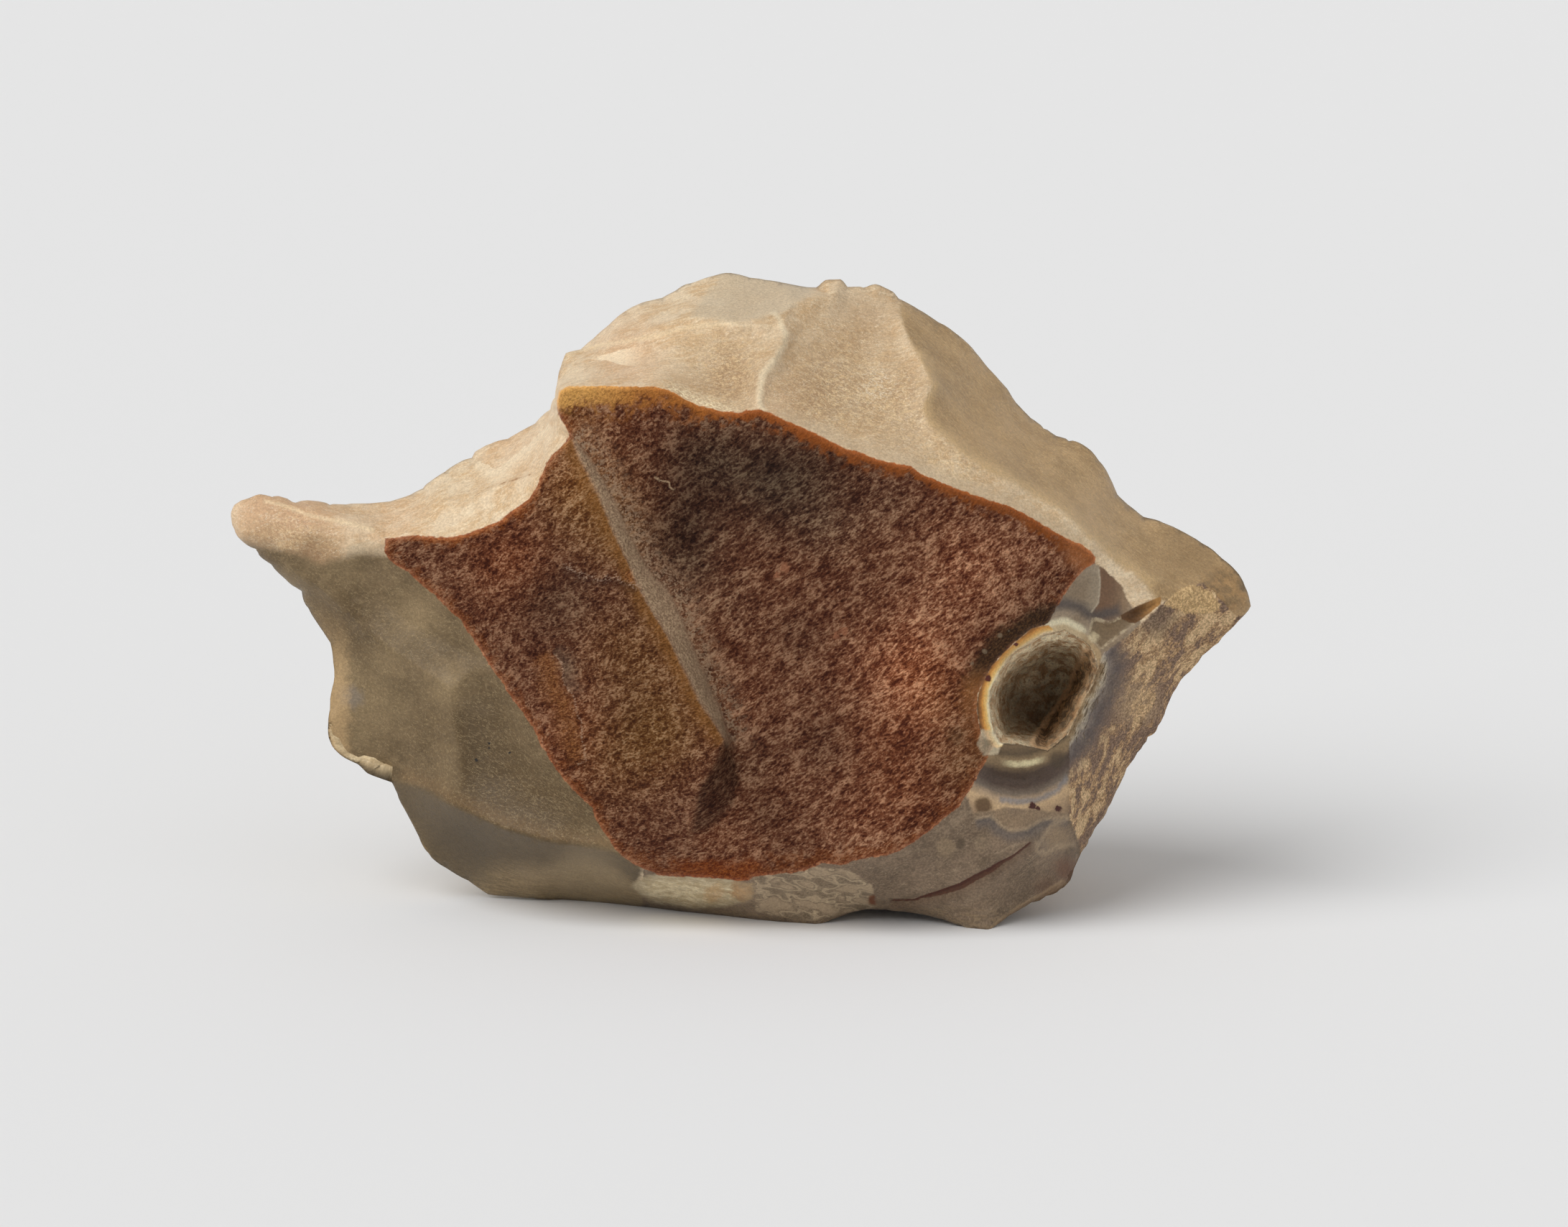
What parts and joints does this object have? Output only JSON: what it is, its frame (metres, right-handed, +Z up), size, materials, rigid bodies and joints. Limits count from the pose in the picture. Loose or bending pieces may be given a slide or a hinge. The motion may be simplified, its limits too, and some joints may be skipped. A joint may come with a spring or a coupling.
{
  "type": "flint nodule",
  "caption": "Struck flint nodule with a blunt horn, a brown patinated face between pale flake scars, a burrow hole and a small flat base to rest on.",
  "frame": {"origin": "on the surface that the stone rests on, under the middle of its bounding box", "axes": "+X along the stone's length, from the horn to the right-hand point; +Y from the brown front face to the back; +Z up"},
  "size_m": [0.14, 0.059, 0.0842],
  "materials": {
    "flint": "matt to satin: granular red-brown patina on the front, cream patinated flake scars, grey-olive flint and rough buff cortex"
  },
  "bodies": {
    "root": {"flint_nodule": "flint"}
  },
  "joints": []
}
